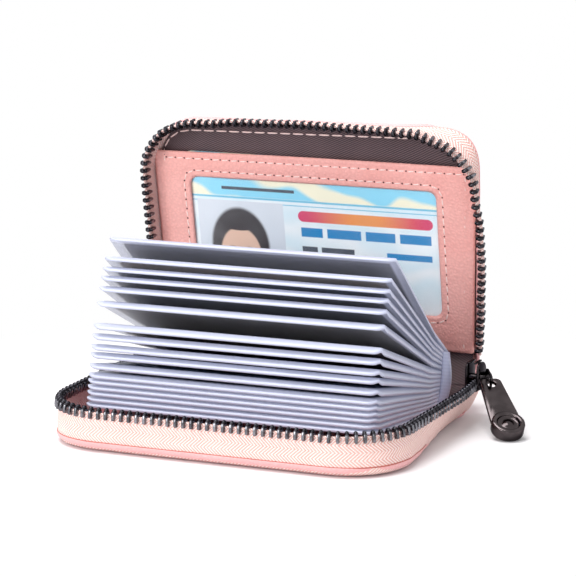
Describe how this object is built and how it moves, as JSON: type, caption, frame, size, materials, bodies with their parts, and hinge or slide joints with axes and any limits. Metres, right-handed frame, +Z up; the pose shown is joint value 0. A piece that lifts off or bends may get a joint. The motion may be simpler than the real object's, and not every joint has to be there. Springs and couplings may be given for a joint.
{
  "type": "zip-around card wallet",
  "caption": "Zip-around card wallet standing open, with a fan of clear card sleeves and a window pocket with a card",
  "frame": {"origin": "Under the middle of the lower cover, on the face that rests on the table", "axes": "+X along the spine towards the zip slider, +Y from the front edge to the fold, +Z up"},
  "size_m": [0.1295, 0.0954, 0.0891],
  "materials": {
    "pink_leather": "fine grained, semi-matt, stitched",
    "pink_tape": "woven, herringbone, matt",
    "grey_board": "fibre board, dull",
    "dark_twill": "twill weave, dull",
    "clear_film": "clear flexible film, slightly cloudy",
    "gunmetal": "polished dark nickel plating",
    "card_plastic": "smooth, satin"
  },
  "bodies": {
    "lower_half": {"lower_cover_leather": "pink_leather", "lower_cover_board": "grey_board", "lower_cover_lining": "dark_twill", "lower_pocket_panel": "pink_leather", "lower_zip_tape": "pink_tape", "lower_zip_teeth": "gunmetal", "zip_bottom_stop": "gunmetal", "lower_top_stop": "gunmetal", "binding_foot": "clear_film"},
    "spine": {"spine_leather": "pink_leather", "spine_board": "grey_board", "spine_lining": "dark_twill"},
    "upper_half": {"upper_cover_leather": "pink_leather", "upper_cover_board": "grey_board", "upper_cover_lining": "dark_twill", "upper_pocket_panel": "pink_leather", "id_window": "clear_film", "upper_zip_tape": "pink_tape", "upper_zip_teeth": "gunmetal", "upper_top_stop": "gunmetal"},
    "identity_card": {"id_card": "card_plastic"},
    "binding": {"accordion_binding": "clear_film"},
    "slider": {"slider_body": "gunmetal"},
    "link": {"pull_link": "gunmetal"},
    "tab": {"pull_tab": "gunmetal"},
    "page_01": {"sleeve_01": "clear_film", "card_01": "card_plastic"},
    "page_02": {"sleeve_02": "clear_film", "card_02": "card_plastic"},
    "page_03": {"sleeve_03": "clear_film", "card_03": "card_plastic"},
    "page_04": {"sleeve_04": "clear_film", "card_04": "card_plastic"},
    "page_05": {"sleeve_05": "clear_film", "card_05": "card_plastic"},
    "page_06": {"sleeve_06": "clear_film", "card_06": "card_plastic"},
    "page_07": {"sleeve_07": "clear_film", "card_07": "card_plastic"},
    "page_08": {"sleeve_08": "clear_film", "card_08": "card_plastic"},
    "page_09": {"sleeve_09": "clear_film", "card_09": "card_plastic"},
    "page_10": {"sleeve_10": "clear_film", "card_10": "card_plastic"},
    "page_11": {"sleeve_11": "clear_film", "card_11": "card_plastic"},
    "page_12": {"sleeve_12": "clear_film", "card_12": "card_plastic"},
    "page_13": {"sleeve_13": "clear_film", "card_13": "card_plastic"},
    "page_14": {"sleeve_14": "clear_film", "card_14": "card_plastic"},
    "page_15": {"sleeve_15": "clear_film", "card_15": "card_plastic"},
    "page_16": {"sleeve_16": "clear_film", "card_16": "card_plastic"},
    "page_17": {"sleeve_17": "clear_film", "card_17": "card_plastic"}
  },
  "joints": [
    {"name": "spine_fold", "type": "hinge", "parent": "lower_half", "child": "spine", "pos_m": [0, 0.0382, 0.0012], "axis": [1, 0, 0], "range_deg": [-35.9, 54.1]},
    {"name": "cover_fold", "type": "hinge", "parent": "spine", "child": "upper_half", "pos_m": [0, 0.05602, 0.0141], "axis": [1, 0, 0], "range_deg": [-16.71, 25.15]},
    {"name": "binding_tilt", "type": "hinge", "parent": "lower_half", "child": "binding", "pos_m": [0, 0.0362, 0.0026], "axis": [1, 0, 0], "range_deg": [-9.34, 14.05]},
    {"name": "page_01_fold", "type": "hinge", "parent": "binding", "child": "page_01", "pos_m": [0, 0.03638, 0.00333], "axis": [1, 0, 0], "range_deg": [-7.95, 5.29]},
    {"name": "page_02_fold", "type": "hinge", "parent": "binding", "child": "page_02", "pos_m": [0, 0.03663, 0.00433], "axis": [1, 0, 0], "range_deg": [-7.25, 4.83]},
    {"name": "page_03_fold", "type": "hinge", "parent": "binding", "child": "page_03", "pos_m": [0, 0.03688, 0.00533], "axis": [1, 0, 0], "range_deg": [-6.45, 4.3]},
    {"name": "page_04_fold", "type": "hinge", "parent": "binding", "child": "page_04", "pos_m": [0, 0.03713, 0.00633], "axis": [1, 0, 0], "range_deg": [-5.75, 3.83]},
    {"name": "page_05_fold", "type": "hinge", "parent": "binding", "child": "page_05", "pos_m": [0, 0.03738, 0.00732], "axis": [1, 0, 0], "range_deg": [-4.95, 3.3]},
    {"name": "page_06_fold", "type": "hinge", "parent": "binding", "child": "page_06", "pos_m": [0, 0.03763, 0.00833], "axis": [1, 0, 0], "range_deg": [-4.25, 2.84]},
    {"name": "page_07_fold", "type": "hinge", "parent": "binding", "child": "page_07", "pos_m": [0, 0.03788, 0.00932], "axis": [1, 0, 0], "range_deg": [-2.45, 1.64]},
    {"name": "page_08_fold", "type": "hinge", "parent": "binding", "child": "page_08", "pos_m": [0, 0.03813, 0.01032], "axis": [1, 0, 0], "range_deg": [-0.25, 0.18]},
    {"name": "page_09_fold", "type": "hinge", "parent": "binding", "child": "page_09", "pos_m": [0, 0.03837, 0.01132], "axis": [1, 0, 0], "range_deg": [-0.85, 1.25]},
    {"name": "page_10_fold", "type": "hinge", "parent": "binding", "child": "page_10", "pos_m": [0, 0.03862, 0.01232], "axis": [1, 0, 0], "range_deg": [-2.24, 3.35]},
    {"name": "page_11_fold", "type": "hinge", "parent": "binding", "child": "page_11", "pos_m": [0, 0.03887, 0.01332], "axis": [1, 0, 0], "range_deg": [-3.63, 5.45]},
    {"name": "page_12_fold", "type": "hinge", "parent": "binding", "child": "page_12", "pos_m": [0, 0.03912, 0.01432], "axis": [1, 0, 0], "range_deg": [-7.42, 11.15]},
    {"name": "page_13_fold", "type": "hinge", "parent": "binding", "child": "page_13", "pos_m": [0, 0.03937, 0.01532], "axis": [1, 0, 0], "range_deg": [-9.74, 14.65]},
    {"name": "page_14_fold", "type": "hinge", "parent": "binding", "child": "page_14", "pos_m": [0, 0.03962, 0.01632], "axis": [1, 0, 0], "range_deg": [-11.2, 16.85]},
    {"name": "page_15_fold", "type": "hinge", "parent": "binding", "child": "page_15", "pos_m": [0, 0.03987, 0.01732], "axis": [1, 0, 0], "range_deg": [-12.39, 18.65]},
    {"name": "page_16_fold", "type": "hinge", "parent": "binding", "child": "page_16", "pos_m": [0, 0.04012, 0.01832], "axis": [1, 0, 0], "range_deg": [-13.85, 20.85]},
    {"name": "page_17_fold", "type": "hinge", "parent": "binding", "child": "page_17", "pos_m": [0, 0.04037, 0.01932], "axis": [1, 0, 0], "range_deg": [-17.37, 26.15]},
    {"name": "id_card_slide", "type": "slide", "parent": "upper_half", "child": "identity_card", "axis": [0, -0.1874, 0.9823], "range_m": [0, 0.01]},
    {"name": "slider_slide", "type": "slide", "parent": "lower_half", "child": "slider", "axis": [0, -1, 0], "range_m": [0, 0.048]},
    {"name": "link_swing", "type": "hinge", "parent": "slider", "child": "link", "pos_m": [0.0567, 0.0397, 0.01365], "axis": [0, 0, 1], "range_deg": [-5, 110]},
    {"name": "tab_swing", "type": "hinge", "parent": "link", "child": "tab", "pos_m": [0.05943, 0.0358, 0.0121], "axis": [0.8192, 0.5736, 0], "range_deg": [-50, 0.2]}
  ],
  "couplings": [
    {"joint": "cover_fold", "follows": "spine_fold", "ratio": 0.46396},
    {"joint": "binding_tilt", "follows": "spine_fold", "ratio": 0.25878},
    {"joint": "page_01_fold", "follows": "spine_fold", "ratio": -0.14603},
    {"joint": "page_02_fold", "follows": "spine_fold", "ratio": -0.13309},
    {"joint": "page_03_fold", "follows": "spine_fold", "ratio": -0.1183},
    {"joint": "page_04_fold", "follows": "spine_fold", "ratio": -0.10536},
    {"joint": "page_05_fold", "follows": "spine_fold", "ratio": -0.090573},
    {"joint": "page_06_fold", "follows": "spine_fold", "ratio": -0.077634},
    {"joint": "page_07_fold", "follows": "spine_fold", "ratio": -0.044362},
    {"joint": "page_08_fold", "follows": "spine_fold", "ratio": -0.003697},
    {"joint": "page_09_fold", "follows": "spine_fold", "ratio": 0.022181},
    {"joint": "page_10_fold", "follows": "spine_fold", "ratio": 0.060998},
    {"joint": "page_11_fold", "follows": "spine_fold", "ratio": 0.099815},
    {"joint": "page_12_fold", "follows": "spine_fold", "ratio": 0.20518},
    {"joint": "page_13_fold", "follows": "spine_fold", "ratio": 0.26987},
    {"joint": "page_14_fold", "follows": "spine_fold", "ratio": 0.31054},
    {"joint": "page_15_fold", "follows": "spine_fold", "ratio": 0.34381},
    {"joint": "page_16_fold", "follows": "spine_fold", "ratio": 0.38447},
    {"joint": "page_17_fold", "follows": "spine_fold", "ratio": 0.48244}
  ]
}
